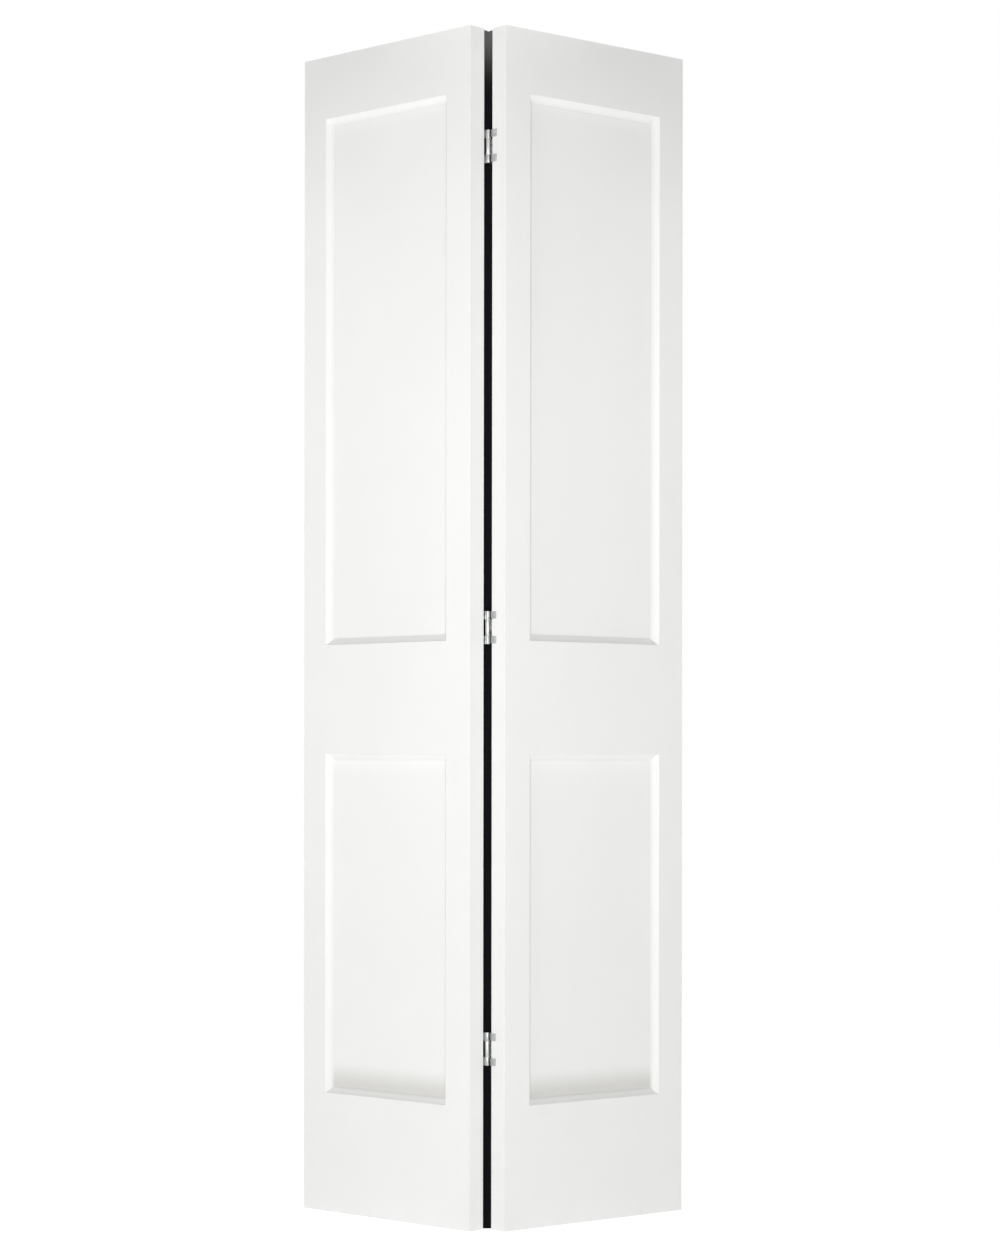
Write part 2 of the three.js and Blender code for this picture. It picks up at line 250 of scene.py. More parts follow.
# The long arrises, rubbed a little thin in patches
rubbing = {
    "thin": (0.80, 0.785, 0.74),
    "amount": 0.35,
    "span": (0.2 * mm, 1.1 * mm),
    "patches": (35, 3),
    "patchSpan": (0.45, 0.7),
    "polish": 0.12,
}

# Painted shade on the lower panels, and a faint band of painted shade along the moulding's foot
paintedShade = {
    "colour": (0.68, 0.675, 0.645),
    "rise": 14 * mm,
    "top": 58 * mm,
    "depth": 7 * mm,
    "least": 0.85,
    "swing": 0.3,
    # Painted shade in the corner at the moulding's foot: how strong it is, and where it starts, stays full
    # and fades
    "footShadeAmount": 0.25,
    "footShadeRise": 7 * mm,
    "footShadeFlat": 1.5 * mm,
    "footShadeFade": 3 * mm,
}


# How close a point in the leaf's frame is to the leaf's long arrises: 1 on them, 0 further off
def arrisMask(web, spot):
    x, y, z = web.axes(spot)
    fromFaces = (y - frontFace).least(backFace - y)
    fromEdges = (x - hingeEdge).least(outerEdge - x)
    gap = abs(fromFaces).most(abs(fromEdges))
    patchy = web.noise(spot, *rubbing["patches"])
    return (1 - web.ramp(gap, *rubbing["span"])) * web.ramp(patchy, *rubbing["patchSpan"])


# Painted shade on the lower panels, just above their bottom bevel: 1 there, 0 higher up and off the panel
def lowerPanelShadeMask(web, spot):
    x, y, z = web.axes(spot)
    sunk = (y - frontFace).least(backFace - y)
    above = z - lowerPanelLow
    sides = (x - panelLeft).least(panelRight - x)
    within = web.ramp(above, 0.0, paintedShade["rise"]) * web.ramp(sides, 0.0, paintedShade["rise"])
    return (within * (1 - web.ramp(above, paintedShade["rise"], paintedShade["top"]))
            * web.ramp(sunk, paintedShade["depth"], moulding["panelDepth"]))


# The painted shade in the corner is 1 at the moulding's foot, and 0 up the bevel, out on the panel and on
# the hinge side
def footShadeMask(web, spot):
    x, y, z = web.axes(spot)
    inLower = (z - lowerPanelLow).least(lowerPanelHigh - z)
    inUpper = (z - upperPanelLow).least(upperPanelHigh - z)
    inset = (panelRight - x).least(inLower.most(inUpper))
    clearOfHinge = web.ramp(x - panelLeft, 0.0, footInset)
    return (web.ramp(inset, footInset - paintedShade["footShadeRise"], footInset - paintedShade["footShadeFlat"])
            * (1 - web.ramp(inset, footInset, footInset + paintedShade["footShadeFade"])) * clearOfHinge)


# Primer on the pressed skins
board = {
    "clouds": (5.5, 4, 0.6),
    "specks": (900, 2),
    "speckSpan": (0.62, 0.8),
    "speckAmount": 0.25,
    "fuzz": (1500, 2),
    "fuzzStretch": (1, 1, 0.35),
    "fuzzAmount": 0.25,
}


def primedFibreboard(side):
    material, web = newMaterial("primedFibreboard" + side.capitalize())
    spot = web.point(side)
    clouds = web.noise(spot, *board["clouds"])
    specks = web.noise(spot, *board["specks"])
    rubbed = arrisMask(web, spot) * rubbing["amount"]
    # Painted shade on the lower panels above their bottom bevel, patchy with the clouds
    dustAndShade = lowerPanelShadeMask(web, spot) * (paintedShade["least"] + paintedShade["swing"] * clouds)
    # Painted shade in the corner at the moulding's foot, left out where the lower panels' painted shade
    # lies
    footShade = footShadeMask(web, spot) * (1 - dustAndShade) * paintedShade["footShadeAmount"]
    speckled = web.ramp(specks, *board["speckSpan"]) * board["speckAmount"]
    colour = web.mixed(web.ramp(clouds, *primer["cloudSpan"]), primer["white"], primer["clouded"])
    colour = web.mixed(speckled, colour, primer["clouded"])
    colour = web.mixed(rubbed, colour, rubbing["thin"])
    # Painted shade in the corner at the moulding's foot
    colour = web.mixed(footShade, colour, paintedShade["colour"])
    # Painted shade on the lower panels
    colour = web.mixed(dustAndShade, colour, paintedShade["colour"])
    peel = web.noise(spot, *primer["peel"])
    fuzz = web.noise(web.stretched(spot, board["fuzzStretch"]), *board["fuzz"])
    roughness = primer["roughness"] + primer["roughnessSwing"] * (clouds - 0.5)
    surface(web, {
        "Base Color": colour,
        "Roughness": roughness - rubbing["polish"] * rubbed,
        "Normal": web.bump(peel + fuzz * board["fuzzAmount"], primer["peelDepth"]),
    })
    return material


# Primer on solid wood, where the grain shows through. The grain runs along Z or along the leaf.
primedGrain = {
    "uprightStretch": (1, 1, 0.03),
    "levelStretch": (0.03, 1, 1),
    "grain": (260, 4, 0.6),
    "grainSpan": (0.55, 0.8),
    "grainAmount": 0.3,
    "clouds": (7, 3, 0.6),
    "peelAmount": 0.5,
    "depth": 1.4 * primer["peelDepth"],
}


def primedWood(side, run):
    material, web = newMaterial("primedWood" + side.capitalize() + run.capitalize())
    spot = web.point(side)
    grain = web.noise(web.stretched(spot, primedGrain[run + "Stretch"]), *primedGrain["grain"])
    clouds = web.noise(spot, *primedGrain["clouds"])
    peel = web.noise(spot, *primer["peel"])
    rubbed = arrisMask(web, spot) * rubbing["amount"]
    grained = web.ramp(grain, *primedGrain["grainSpan"]) * primedGrain["grainAmount"]
    colour = web.mixed(web.ramp(clouds, *primer["cloudSpan"]), primer["white"], primer["clouded"])
    colour = web.mixed(grained, colour, primer["clouded"])
    colour = web.mixed(rubbed, colour, rubbing["thin"])
    surface(web, {
        "Base Color": colour,
        "Roughness": primer["roughness"] + primer["roughnessSwing"] * (grain - 0.5),
        "Normal": web.bump(grain + peel * primedGrain["peelAmount"], primedGrain["depth"]),
    })
    return material


# Bare planed pine of the rail between the panels: slow growth bands, fine fibres, a few dark flecks
pine = {
    "early": (0.60, 0.40, 0.20),
    "late": (0.42, 0.235, 0.095),
    "dark": (0.25, 0.12, 0.05),
    "bandsUp": 190,  # bands to a metre
    "bandsDeep": 60,
    "bandSpan": (0.35, 0.95),
    "sway": (14, 3),
    "swayStretch": (0.25, 1, 1),
    "swayAmount": 3.2,
    "fibres": (900, 3),
    "fibreStretch": (0.02, 1, 1),
    "fibreAmount": 0.35,
    "flecks": (260, 2),
    "fleckStretch": (0.08, 1, 1),
    "fleckSpan": (0.68, 0.74),
    "fleckAmount": 0.6,
    "roughness": 0.62,
    "roughnessSwing": 0.18,
    "bandRelief": 0.4,
    "depth": 0.04 * mm,
}


def barePine(side):
    material, web = newMaterial("barePine" + side.capitalize())
    spot = web.point(side)
    x, y, z = web.axes(spot)
    sway = web.noise(web.stretched(spot, pine["swayStretch"]), *pine["sway"])
    bands = (z * pine["bandsUp"] + y * pine["bandsDeep"] + sway * pine["swayAmount"]).fraction()
    late = web.ramp(bands, *pine["bandSpan"])
    fibre = web.noise(web.stretched(spot, pine["fibreStretch"]), *pine["fibres"])
    fleck = web.noise(web.stretched(spot, pine["fleckStretch"]), *pine["flecks"])
    colour = web.mixed(late, pine["early"], pine["late"])
    colour = web.mixed(fibre * pine["fibreAmount"], colour, pine["late"])
    colour = web.mixed(web.ramp(fleck, *pine["fleckSpan"]) * pine["fleckAmount"], colour, pine["dark"])
    surface(web, {
        "Base Color": colour,
        "Roughness": pine["roughness"] + pine["roughnessSwing"] * fibre,
        "Normal": web.bump(fibre + late * pine["bandRelief"], pine["depth"]),
    })
    return material


# Kraft paper of the honeycomb strips
kraft = {
    "dark": (0.31, 0.185, 0.09),
    "light": (0.46, 0.30, 0.165),
    "blot": (0.26, 0.15, 0.07),
    "fibres": (700, 4, 0.65),
    "fibreStretch": (1, 1, 0.3),
    "fibreSpan": (0.3, 0.75),
    "blots": (60, 3),
    "blotSpan": (0.5, 0.8),
    "blotAmount": 0.3,
    "roughness": 0.8,
    "roughnessSwing": 0.15,
    "depth": 0.05 * mm,
}


def kraftPaper():
    material, web = newMaterial("kraftPaper")
    spot = web.point()
    fibres = web.noise(web.stretched(spot, kraft["fibreStretch"]), *kraft["fibres"])
    blots = web.ramp(web.noise(spot, *kraft["blots"]), *kraft["blotSpan"])
    colour = web.mixed(web.ramp(fibres, *kraft["fibreSpan"]), kraft["dark"], kraft["light"])
    colour = web.mixed(blots * kraft["blotAmount"], colour, kraft["blot"])
    surface(web, {
        "Base Color": colour,
        "Roughness": kraft["roughness"] + kraft["roughnessSwing"] * fibres,
        "Normal": web.bump(fibres, kraft["depth"]),
    })
    return material


# Bright zinc on stamped steel: rolling streaks, fine crystals, duller where fingers and dust reach it,
# and painted shade on the tongues beside the knuckles
zinc = {
    "bright": (0.64, 0.655, 0.655),
    "dull": (0.45, 0.463, 0.463),
    "streaks": (1400, 3, 0.6),
    "stampedStretch": (1, 1, 0.05),
    "turnedStretch": (0.12, 0.12, 1),
    "crystalScale": 700,
    "crystalSpan": (0.1, 0.6),
    "crystalAmount": 0.15,
    "tarnish": (160, 4, 0.65),
    "tarnishSpan": (0.42, 0.72),
    "tarnishAmount": 0.6,
    "roughness": 0.27,
    "tarnishRoughness": 0.16,
    "streakRoughness": 0.08,
    "ringShadeRoughness": 0.3,
    "crystalRelief": 0.4,
    "depth": 0.01 * mm,
    # Painted shade on the tongues: its colour, its ring about the pin, and how strong it is
    "ringShade": (0.10, 0.098, 0.094),
    "ringShadeFrom": 3.75 * mm,
    "ringShadeTo": 7.4 * mm,
    "ringShadeFade": 0.6 * mm,
    "ringShadeLeast": 0.75,
    "ringShadeSwing": 0.25,
}


# Painted shade lies in a ring about the pin, on the tongues, stronger where the zinc is dull
def pinRingShadeMask(web, spot, tarnish):
    x, y, z = web.axes(spot)
    fromPin = (x * x + (y - axisY) * (y - axisY)).power(0.5)
    low, high, fade = zinc["ringShadeFrom"], zinc["ringShadeTo"], zinc["ringShadeFade"]
    ring = web.ramp(fromPin, low, low + fade) * (1 - web.ramp(fromPin, high - fade, high))
    return ring * (zinc["ringShadeLeast"] + zinc["ringShadeSwing"] * tarnish)


def zincPlate(make):
    material, web = newMaterial("zinc" + make.capitalize())
    spot = web.point()
    streaks = web.noise(web.stretched(spot, zinc[make + "Stretch"]), *zinc["streaks"])
    crystals = web.node("ShaderNodeTexVoronoi", {"feature": "F1"},
                        {"Vector": spot, "Scale": zinc["crystalScale"]}, output="Distance")
    tarnish = web.ramp(web.noise(spot, *zinc["tarnish"]), *zinc["tarnishSpan"])
    ringShaded = pinRingShadeMask(web, spot, tarnish)
    crystalline = web.ramp(crystals, *zinc["crystalSpan"]) * zinc["crystalAmount"]
    colour = web.mixed(tarnish * zinc["tarnishAmount"], zinc["bright"], zinc["dull"])
    colour = web.mixed(crystalline, colour, zinc["dull"])
    # Painted shade on the tongues beside the knuckles
    colour = web.mixed(ringShaded, colour, zinc["ringShade"])
    surface(web, {
        "Base Color": colour,
        "Metallic": 1.0,
        "Roughness": (zinc["roughness"] + zinc["tarnishRoughness"] * tarnish
                      + zinc["streakRoughness"] * streaks + zinc["ringShadeRoughness"] * ringShaded),
        "Normal": web.bump(streaks + crystals * zinc["crystalRelief"], zinc["depth"]),
    })
    return material


# Natural nylon of the bushings: milky, with fine turning marks
nylon = {
    "clear": (0.80, 0.80, 0.76),
    "milky": (0.70, 0.70, 0.655),
    "milk": (240, 3),
    "marks": (2600, 2),
    "markStretch": (0.1, 0.1, 1),
    "roughness": 0.38,
    "roughnessSwing": 0.14,
    "depth": 0.012 * mm,
    "scatter": 0.15,
    "scatterRadius": (1.0 * mm, 1.0 * mm, 0.8 * mm),
}


def naturalNylon():
    material, web = newMaterial("naturalNylon")
    spot = web.point()
    marks = web.noise(web.stretched(spot, nylon["markStretch"]), *nylon["marks"])
    surface(web, {
        "Base Color": web.mixed(web.noise(spot, *nylon["milk"]), nylon["clear"], nylon["milky"]),
        "Roughness": nylon["roughness"] + nylon["roughnessSwing"] * marks,
        "Normal": web.bump(marks, nylon["depth"]),
        "Subsurface Weight": nylon["scatter"],
        "Subsurface Radius": nylon["scatterRadius"],
        "Subsurface Scale": 1.0,
    })
    return material


skinFinish = {side: primedFibreboard(side) for side in ("left", "right")}
uprightFinish = {side: primedWood(side, "upright") for side in ("left", "right")}
levelFinish = {side: primedWood(side, "level") for side in ("left", "right")}
bareFinish = {side: barePine(side) for side in ("left", "right")}
paperFinish = kraftPaper()
stampedFinish = zincPlate("stamped")
turnedFinish = zincPlate("turned")
nylonFinish = naturalNylon()
print("materials made")

toFront = Matrix.Rotation(pi / 2, 4, "X")  # turns what faces up to face the front


def addRectangle(bm, place, width, height, columns=1):
    return bmesh.ops.create_grid(bm, x_segments=columns, y_segments=1, size=0.5,
                                 matrix=place @ Matrix.Diagonal((width, height, 1, 1)))["verts"]


# Drills run from front to back
def drillsAt(spots, radius, length, segments):
    bm = bmesh.new()
    for spot in spots:
        bmesh.ops.create_cone(bm, cap_ends=True, segments=segments, radius1=radius, radius2=radius,
                              depth=length, matrix=Matrix.Translation(spot) @ toFront)
    return bm


# A bmesh cut by another one
def carved(whole, tool):
    objects = []
    for bm in (whole, tool):
        mesh = bpy.data.meshes.new("carving")
        bm.to_mesh(mesh)
        bm.free()
        shape = bpy.data.objects.new("carving", mesh)
        bpy.context.collection.objects.link(shape)
        objects.append(shape)
    cutting = objects[0].modifiers.new("carving", "BOOLEAN")
    cutting.object = objects[1]
    cutting.solver = "EXACT"
    result = bmesh.new()
    result.from_object(objects[0], bpy.context.evaluated_depsgraph_get())
    for shape in objects:
        mesh = shape.data
        bpy.data.objects.remove(shape)
        bpy.data.meshes.remove(mesh)
    return result


def newObject(bm, name, material):
    mesh = bpy.data.meshes.new(name)
    bm.to_mesh(mesh)
    bm.free()
    mesh.materials.append(material)
    made = bpy.data.objects.new(name, mesh)
    bpy.context.collection.objects.link(made)
    return made


sharpAngle = radians(32)


# Faces narrower than flatWidth are shaded smooth and wider ones flat, with a sharp edge at each hard corner
def finishPiece(bm, name, place, material, body, node, flatWidth):
    for face in bm.faces:
        face.smooth = 2 * face.calc_area() / face.calc_perimeter() < flatWidth
    for edge in bm.edges:
        edge.smooth = edge.calc_face_angle(0) < sharpAngle
    bmesh.ops.transform(bm, matrix=place, verts=bm.verts)
    if place.determinant() < 0:
        bmesh.ops.reverse_faces(bm, faces=bm.faces)
    piece = newObject(bm, name, material)
    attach(piece, body)
    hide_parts(node)


# The moulding's line, as inset and depth from the arris. The sheet's inner side is offset from it.
def stickingLine(offset):
    reach = hollowRadius + offset
    if offset:
        line = []
        first = acos((offset + hollowRadius * cos(steep)) / reach)
    else:
        radius = moulding["arrisRadius"]
        turns = [steep * step / moulding["arrisSteps"] for step in range(moulding["arrisSteps"] + 1)]
        line = [(radius * (sin(turn) - tan(steep / 2)), radius * (1 - cos(turn))) for turn in turns]
        first = steep
    for step in range(0 if offset else 1, moulding["hollowSteps"]):
        slope = first + (shallow - first) * step / moulding["hollowSteps"]
        line.append((hollowRadius * sin(steep) - reach * sin(slope),
                     reach * cos(slope) - hollowRadius * cos(steep)))
    line.append((footInset - offset * tan(shallow / 2), moulding["panelDepth"] + offset))
    return line


# One side of the sheet, facing the front of the leaf, with both panels pressed in by insets
def pressedSide(bm, y, offset):
    line = stickingLine(offset)
    start = line[0][0]
    place = Matrix.Translation((leafMiddle, y, door["height"] / 2)) @ toFront
    corners = addRectangle(bm, place, door["leafWidth"], door["height"])
    parts = corners + list({edge for corner in corners for edge in corner.link_edges})
    parts += list({face for corner in corners for face in corner.link_faces})
    openings = [(lowerPanelLow, lowerPanelHigh), (upperPanelLow, upperPanelHigh)]
    cuts = [((x, 0, 0), (1, 0, 0)) for x in (panelLeft + start, panelRight - start)]
    cuts += [((0, 0, z), (0, 0, 1)) for low, high in openings for z in (low + start, high - start)]
    for spot, normal in cuts:
        parts = bmesh.ops.bisect_plane(bm, geom=parts, plane_co=spot, plane_no=normal)["geom"]
    sheetFaces = [part for part in parts if isinstance(part, bmesh.types.BMFace)]
    for low, high in openings:
        centre = Vector((leafMiddle, y, (low + high) / 2))
        panel = min(sheetFaces, key=lambda face: (face.calc_center_median() - centre).length)
        for (inset, depth), (nextInset, nextDepth) in zip(line, line[1:]):
            bmesh.ops.inset_individual(bm, faces=[panel], thickness=nextInset - inset,
                                       depth=depth - nextDepth, use_even_offset=True)


def onLongArris(edge):
    return all(abs(vert.co.y - frontFace) < near and
               min(abs(vert.co.x - hingeEdge), abs(vert.co.x - outerEdge)) < near for vert in edge.verts)


def frontSkin():
    bm = bmesh.new()
    pressedSide(bm, frontFace, 0)
    outside = set(bm.faces)
    pressedSide(bm, frontFace + moulding["sheet"], moulding["sheet"])
    inside = [face for face in bm.faces if face not in outside]
    bmesh.ops.reverse_faces(bm, faces=inside)
    rims = [edge for edge in bm.edges if edge.is_boundary]
    bmesh.ops.bridge_loops(bm, edges=rims)
    bmesh.ops.recalc_face_normals(bm, faces=bm.faces)
    arrises = [edge for edge in bm.edges if onLongArris(edge)]
    bmesh.ops.bevel(bm, geom=arrises, offset=moulding["edgeRadius"], offset_type="OFFSET",
                    segments=moulding["edgeSteps"], profile=0.5, affect="EDGES", material=-1)
    return bm


# Two screws at the back of each leaf for each hinge, in pilot holes through the skin
screwing = {
    "fromEdge": 17.5 * mm,
    "spacing": 35 * mm,
    "pilotRadius": 1.85 * mm,
    "pilotSegments": 24,
    "drillLength": 4 * moulding["sheet"],
}
screwX = hingeEdge + screwing["fromEdge"]
screwShifts = {"upper": screwing["spacing"] / 2, "lower": -screwing["spacing"] / 2}


def middleHeight(node):
    low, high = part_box(node)
    return (low[2] + high[2]) / 2


hinges = {name: middleHeight(name + "_pin") for name in ("top_hinge", "middle_hinge", "bottom_hinge")}


# The front skin's mirror image, drilled
def backSkin():
    bm = frontSkin()
    mirrored = Matrix.Translation((0, frontFace + backFace, 0)) @ Matrix.Scale(-1, 4, (0, 1, 0))
    bmesh.ops.transform(bm, matrix=mirrored, verts=bm.verts)
    bmesh.ops.reverse_faces(bm, faces=bm.faces)
    spots = [(screwX, backFace, height + shift)
             for height in hinges.values() for shift in screwShifts.values()]
    return carved(bm, drillsAt(spots, screwing["pilotRadius"], screwing["drillLength"],
                               screwing["pilotSegments"]))


for side in ("left", "right"):
    for face, skin in (("front", frontSkin()), ("back", backSkin())):
        finishPiece(skin, f"{side}_{face}_pressed_skin", leafPlace(side), skinFinish[side],
                    side + "_leaf", f"{side}_{face}_skin", moulding["flatWidth"])
print("skins pressed")

# The wooden frame and the paper cores stay as the frame has them, with their own finishes
for side in ("left", "right"):
    finishes = {
        "hinge_stile": uprightFinish[side],
        "outer_stile": uprightFinish[side],
        "top_rail": levelFinish[side],
        "bottom_rail": levelFinish[side],
        "mid_rail": bareFinish[side],
        "upper_core": paperFinish,
        "lower_core": paperFinish,
    }
    for name, material in finishes.items():
        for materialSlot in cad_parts[side + "_" + name].material_slots:
            materialSlot.material = material
print("frame and cores finished")

# Hinge pieces, in the leaf's frame with the hinge's middle at height 0
hinge = {
    "height": 55 * mm,
    "sheet": 1.35 * mm,
    "lift": 0.08 * mm,
    "reach": 27 * mm,
    "cornerRadius": 3 * mm,
    "cornerSteps": 8,
    "crankSetback": 8.5 * mm,
    "seam": 0.4 * mm,
    "curlSteps": 44,
    "easing": 0.14 * mm,
    "easingSteps": 2,
    "easedAngle": radians(60),
    "pinRadius": 1.5 * mm,
    "pinRound": 0.4 * mm,
    "pinRoundSteps": 5,
    "pinTurnSteps": 48,
    "outerInside": 1.6 * mm,
    "middleInside": 2.35 * mm,
    "middleTongue": 25.8 * mm,
    "outerTongueLow": 14.1 * mm,
    "tabHeight": 12.4 * mm,
    "tabLength": 12.6 * mm,
    "tabGap": 0.3 * mm,
    "tabBend": 0.6 * mm,
    "tabSteps": 6,
    "holeRadius": 2 * mm,
    "holeSegments": 32,
    "drillLength": 8.1 * mm,
    "flatWidth": 1.3 * mm,
}
plateFace = backFace + hinge["lift"]
crankX = hingeEdge + hinge["crankSetback"]
farX = hingeEdge + hinge["reach"]
halfHinge = hinge["height"] / 2
outerTongues = [(hinge["outerTongueLow"], halfHinge), (-halfHinge, -hinge["outerTongueLow"])]
middleTongues = [(-hinge["middleTongue"] / 2, hinge["middleTongue"] / 2)]
tabs = []
for low, high in outerTongues:
    tabMiddle = (low + high) / 2
    tabs.append((tabMiddle - hinge["tabHeight"] / 2, tabMiddle + hinge["tabHeight"] / 2))


def crankEdges(bm, low, high):
    return [edge for edge in bm.edges
            if all(abs(vert.co.x - crankX) < near and low - near < vert.co.z < high + near
                   for vert in edge.verts)]


def vertsOf(parts):
    return [part for part in parts if isinstance(part, bmesh.types.BMVert)]


def edgesOf(parts):
    return [part for part in parts if isinstance(part, bmesh.types.BMEdge)]


# A tongue rises from the flat of the plate and curls round the pin
def curlTongue(bm, low, high, inside):
    foot = Vector((crankX, plateFace, 0))
    rise = atan2(-foot.y, -foot.x) - asin(inside / hypot(foot.x, foot.y))
    firstAngle = rise - pi / 2
    touch = Vector((inside * cos(firstAngle), inside * sin(firstAngle), 0))
    sweep = 2 * pi - acos((inside - hinge["seam"]) / (inside + hinge["sheet"]))
    raised = bmesh.ops.extrude_edge_only(bm, edges=crankEdges(bm, low, high))["geom"]
    bmesh.ops.translate(bm, verts=vertsOf(raised), vec=touch - foot)
    bmesh.ops.spin(bm, geom=vertsOf(raised) + edgesOf(raised), cent=(0, 0, 0), axis=(0, 0, 1),
                   dvec=(0, 0, 0), angle=sweep, steps=hinge["curlSteps"], use_duplicate=False)


# A tab runs on to the leaf's edge and bends forward onto its edge face
def bendTab(bm, low, high):
    bendX = hingeEdge - hinge["tabGap"] + hinge["tabBend"]
    bendY = plateFace - hinge["tabBend"]
    run = bmesh.ops.extrude_edge_only(bm, edges=crankEdges(bm, low, high))["geom"]
    bmesh.ops.translate(bm, verts=vertsOf(run), vec=(bendX - crankX, 0, 0))
    bent = bmesh.ops.spin(bm, geom=vertsOf(run) + edgesOf(run), cent=(bendX, bendY, 0), axis=(0, 0, 1),
                          dvec=(0, 0, 0), angle=pi / 2, steps=hinge["tabSteps"],
                          use_duplicate=False)["geom_last"]
    down = bmesh.ops.extrude_edge_only(bm, edges=edgesOf(bent))["geom"]
    bmesh.ops.translate(bm, verts=vertsOf(down), vec=(0, backFace - hinge["tabLength"] - bendY, 0))


def stampedPlate(tongues, inside, bentTabs):
    bm = bmesh.new()
    place = Matrix.Translation(((crankX + farX) / 2, plateFace, 0)) @ toFront
    addRectangle(bm, place, farX - crankX, hinge["height"])
    corners = [vert for vert in bm.verts if abs(vert.co.x - farX) < near]
    bmesh.ops.bevel(bm, geom=corners, offset=hinge["cornerRadius"], offset_type="OFFSET",
                    segments=hinge["cornerSteps"], profile=0.5, affect="VERTICES", material=-1)
    for z in sorted({z for span in tongues + bentTabs for z in span if abs(z) < halfHinge - near}):
        everything = bm.verts[:] + bm.edges[:] + bm.faces[:]
        bmesh.ops.bisect_plane(bm, geom=everything, plane_co=(0, 0, z), plane_no=(0, 0, 1))
    for low, high in tongues:
        curlTongue(bm, low, high, inside)
    for low, high in bentTabs:
        bendTab(bm, low, high)
    bmesh.ops.recalc_face_normals(bm, faces=bm.faces)
    flat = max(bm.faces, key=lambda face: face.calc_area())
    if flat.normal.y > 0:
        bmesh.ops.reverse_faces(bm, faces=bm.faces)
    bmesh.ops.solidify(bm, geom=bm.faces[:], thickness=hinge["sheet"])
    bmesh.ops.recalc_face_normals(bm, faces=bm.faces)
    hard = [edge for edge in bm.edges if edge.calc_face_angle(0) > hinge["easedAngle"]]
    bmesh.ops.bevel(bm, geom=hard, offset=hinge["easing"], offset_type="OFFSET",
                    segments=hinge["easingSteps"], profile=0.5, affect="EDGES", material=-1)
    holes = [(screwX, plateFace, shift) for shift in screwShifts.values()]
    return carved(bm, drillsAt(holes, hinge["holeRadius"], hinge["drillLength"], hinge["holeSegments"]))


# A solid turned about Z from radius and height pairs. A line that isn't closed starts and ends on the axis.
def turnedSolid(line, steps, closed=False):
    bm = bmesh.new()
    verts = [bm.verts.new((radius, 0, height)) for radius, height in line]
    ends = verts[1:] + verts[:1] if closed else verts[1:]
    edges = [bm.edges.new(pair) for pair in zip(verts, ends)]
    bmesh.ops.spin(bm, geom=verts + edges, cent=(0, 0, 0), axis=(0, 0, 1), dvec=(0, 0, 0),
                   angle=2 * pi, steps=steps, use_merge=True, use_duplicate=False)
    bmesh.ops.remove_doubles(bm, verts=bm.verts, dist=merging)
    bmesh.ops.recalc_face_normals(bm, faces=bm.faces)
    return bm


# A rounded corner for a turned line: its centre, its radius, and the angles that it runs between
def roundCorner(centreR, centreZ, radius, fromAngle, toAngle, steps):
    angles = [fromAngle + (toAngle - fromAngle) * step / steps for step in range(steps + 1)]
    return [(centreR + radius * cos(angle), centreZ + radius * sin(angle)) for angle in angles]


def hingePin():
    easing = hinge["pinRound"]
    top = roundCorner(hinge["pinRadius"] - easing, halfHinge - easing, easing, 0, pi / 2,
                      hinge["pinRoundSteps"])
    bottom = [(radius, -height) for radius, height in reversed(top)]
    return turnedSolid([(0, -halfHinge)] + bottom + top + [(0, halfHinge)], hinge["pinTurnSteps"])


bushing = {
    "inside": 1.6 * mm,
    "outside": 2.25 * mm,
    "sleeve": 9 * mm,
    "flangeRadius": 4.05 * mm,
    "flangeLow": 13.05 * mm,
    "flange": 0.9 * mm,
    "round": 0.2 * mm,
    "roundSteps": 3,
    "turnSteps": 48,
}


def flangedBushing():
    easing, steps = bushing["round"], bushing["roundSteps"]
    rimR = bushing["flangeRadius"] - easing
    low, high = bushing["flangeLow"], bushing["flangeLow"] + bushing["flange"]
    line = [(bushing["inside"], low - bushing["sleeve"]), (bushing["outside"], low - bushing["sleeve"]),
            (bushing["outside"], low)]
    line += roundCorner(rimR, low + easing, easing, -pi / 2, 0, steps)
    line += roundCorner(rimR, high - easing, easing, 0, pi / 2, steps)
    line += [(bushing["inside"], high)]
    return turnedSolid(line, bushing["turnSteps"], closed=True)


# Pan-head wood screw with a cross recess, head up, its seat at height 0
screw = {
    "seatGap": 0.02 * mm,
    "length": 15.7 * mm,
    "radius": 1.75 * mm,
    "tip": 4 * mm,
    "headRadius": 3.4 * mm,
    "headHeight": 2.28 * mm,
    "headRound": 1.1 * mm,
    "headSteps": 6,
    "rimEasing": 0.1 * mm,
    "turnSteps": 40,
    "crossSpan": 3.6 * mm,
    "crossWidth": 0.8 * mm,
    "crossDepth": 1.2 * mm,
    "crossTaper": 0.45,
    "firstTurn": 1.1,
    "nextTurn": 0.9,
}


def panScrew(crossTurn):
    headR, easing, rounding = screw["headRadius"], screw["rimEasing"], screw["headRound"]
    line = [(0, -screw["length"]), (screw["radius"], screw["tip"] - screw["length"]),
            (screw["radius"], 0), (headR - easing, 0), (headR, easing)]
    line += roundCorner(headR - rounding, screw["headHeight"] - rounding, rounding, 0, pi / 2,
                        screw["headSteps"])
    line += [(0, screw["headHeight"])]
    body = turnedSolid(line, screw["turnSteps"])
    for turn in (0, pi / 2):
        bit = bmesh.new()
        bmesh.ops.create_cube(bit, size=1)
        bmesh.ops.scale(bit, verts=bit.verts,
                        vec=(screw["crossSpan"], screw["crossWidth"], 2 * screw["crossDepth"]))
        low = [vert for vert in bit.verts if vert.co.z < 0]
        bmesh.ops.scale(bit, verts=low, vec=(screw["crossTaper"], screw["crossTaper"], 1))
        place = Matrix.Translation((0, 0, screw["headHeight"])) @ Matrix.Rotation(turn + crossTurn, 4, "Z")
        bmesh.ops.transform(bit, matrix=place, verts=bit.verts)
        body = carved(body, bit)
    return body


def finishHingePiece(bm, name, place, material, body, node):
    finishPiece(bm, name, place, material, body, node, hinge["flatWidth"])


